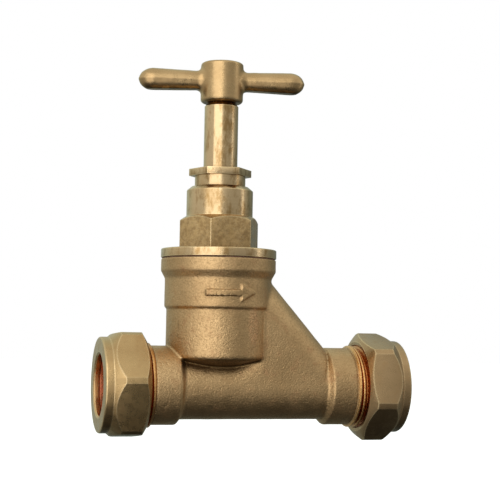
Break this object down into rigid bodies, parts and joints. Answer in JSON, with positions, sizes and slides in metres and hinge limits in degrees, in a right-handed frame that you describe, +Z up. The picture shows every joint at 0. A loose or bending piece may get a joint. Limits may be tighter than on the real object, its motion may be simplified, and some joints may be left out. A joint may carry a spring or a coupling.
{
  "type": "stop valve",
  "caption": "Brass stop valve with a crutch handle on a rising spindle, a sloping screw-down body, and compression nuts on both pipe ends.",
  "frame": {"origin": "where the axis of the two pipe sockets meets the axis of the spindle", "axes": "+X along the pipe from the inlet to the outlet, +Z up the spindle to the handle, -Y the front with a flow arrow"},
  "size_m": [0.0776, 0.029, 0.095],
  "materials": {
    "cast_brass": "as cast, fine grain",
    "turned_brass": "machined, bright",
    "forged_brass": "forged, satin",
    "olive_brass": "soft annealed",
    "fibre": "pressed fibre",
    "packing": "waxy",
    "rubber": "matt"
  },
  "bodies": {
    "valve_body": {"valve_body": "cast_brass", "bonnet": "turned_brass", "bonnet_washer": "fibre", "packing_ring_lower": "packing", "packing_ring_upper": "packing"},
    "gland_follower": {"gland_follower": "turned_brass"},
    "gland_nut": {"gland_nut": "turned_brass"},
    "jumper": {"jumper": "turned_brass", "jumper_washer": "rubber", "jumper_nut": "turned_brass"},
    "spindle": {"spindle": "turned_brass", "crutch_head": "forged_brass"},
    "inlet_olive": {"inlet_olive": "olive_brass"},
    "inlet_nut": {"inlet_nut": "forged_brass"},
    "outlet_olive": {"outlet_olive": "olive_brass"},
    "outlet_nut": {"outlet_nut": "forged_brass"}
  },
  "joints": [
    {"name": "jumper_lift", "type": "slide", "parent": "valve_body", "child": "jumper", "axis": [0, 0, 1], "range_m": [-0.0075, 0]},
    {"name": "spindle_turn", "type": "hinge", "parent": "jumper", "child": "spindle", "pos_m": [0, 0, 0.04], "axis": [0, 0, 1], "range_deg": [-1080, 0]},
    {"name": "gland_follower_slide", "type": "slide", "parent": "valve_body", "child": "gland_follower", "axis": [0, 0, 1], "range_m": [-0.0005, 0.003], "deforming": ["packing_ring_lower", "packing_ring_upper"]},
    {"name": "gland_nut_turn", "type": "hinge", "parent": "gland_follower", "child": "gland_nut", "pos_m": [0, 0, 0.05], "axis": [0, 0, 1], "range_deg": [-180, 1080]},
    {"name": "inlet_olive_slide", "type": "slide", "parent": "valve_body", "child": "inlet_olive", "axis": [-1, 0, 0], "range_m": [-0.00091, 0.00363]},
    {"name": "inlet_nut_turn", "type": "hinge", "parent": "inlet_olive", "child": "inlet_nut", "pos_m": [-0.024, 0, 0], "axis": [-1, 0, 0], "range_deg": [-180, 720]},
    {"name": "outlet_olive_slide", "type": "slide", "parent": "valve_body", "child": "outlet_olive", "axis": [1, 0, 0], "range_m": [-0.00091, 0.00363]},
    {"name": "outlet_nut_turn", "type": "hinge", "parent": "outlet_olive", "child": "outlet_nut", "pos_m": [0.0424, 0, 0], "axis": [1, 0, 0], "range_deg": [-180, 720]}
  ],
  "couplings": [
    {"joint": "spindle_turn", "follows": "jumper_lift", "rad_per_m": 2513.3},
    {"joint": "gland_nut_turn", "follows": "gland_follower_slide", "rad_per_m": 6283.2},
    {"joint": "inlet_nut_turn", "follows": "inlet_olive_slide", "rad_per_m": 3463.7},
    {"joint": "outlet_nut_turn", "follows": "outlet_olive_slide", "rad_per_m": 3463.7}
  ]
}
